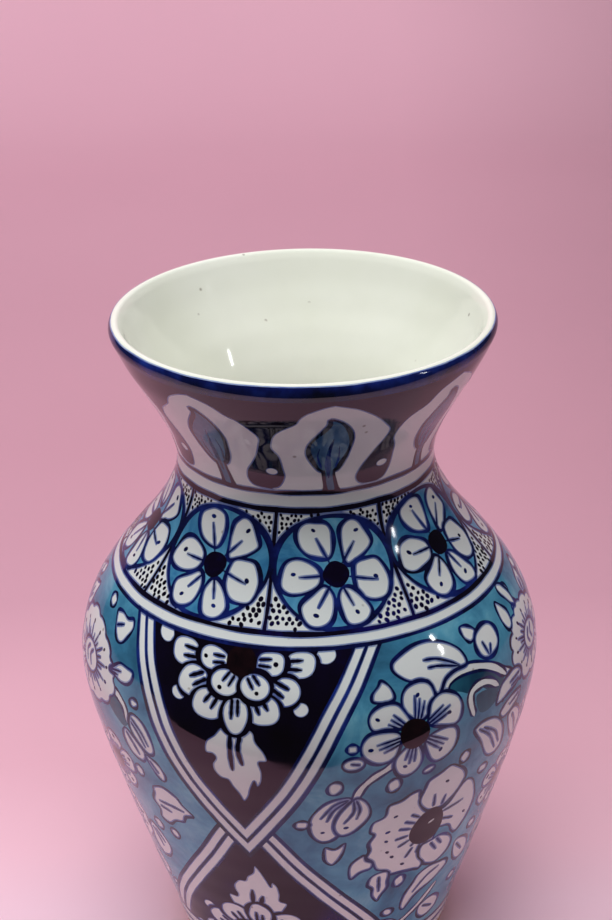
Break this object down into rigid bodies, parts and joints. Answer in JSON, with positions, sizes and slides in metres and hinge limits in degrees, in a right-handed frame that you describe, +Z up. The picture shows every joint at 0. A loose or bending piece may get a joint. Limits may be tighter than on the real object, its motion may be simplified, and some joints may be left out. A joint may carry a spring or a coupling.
{
  "type": "pottery vase",
  "caption": "Hand-painted glazed pottery vase with a flared mouth, narrow waist, round shoulder and tapering body on a foot ring.",
  "frame": {"origin": "centre of the foot ring's resting face", "axes": "+Z up along the vase's axis, towards the mouth; the painted dark V panel faces -Y and a little to -X"},
  "size_m": [0.201, 0.201, 0.2999],
  "materials": {
    "foot_clay": "unglazed fired clay, trimmed smooth",
    "body_clay": "fired clay under the glaze",
    "slip": "fired joining slip",
    "white_glaze": "glossy off-white glaze with fine specks",
    "cobalt_glaze": "glossy near-black cobalt painting",
    "roundel_glaze": "glossy painted glaze, white flowers on turquoise",
    "turquoise_glaze": "glossy painted glaze, turquoise and cobalt on white"
  },
  "bodies": {
    "root": {"foot_ring": "foot_clay", "foot_slip": "slip", "lower_body": "body_clay", "belly_slip": "slip", "upper_body": "body_clay", "waist_slip": "slip", "neck": "body_clay", "inner_glaze": "white_glaze", "neck_glaze": "cobalt_glaze", "shoulder_glaze": "roundel_glaze", "body_glaze": "turquoise_glaze"}
  },
  "joints": []
}
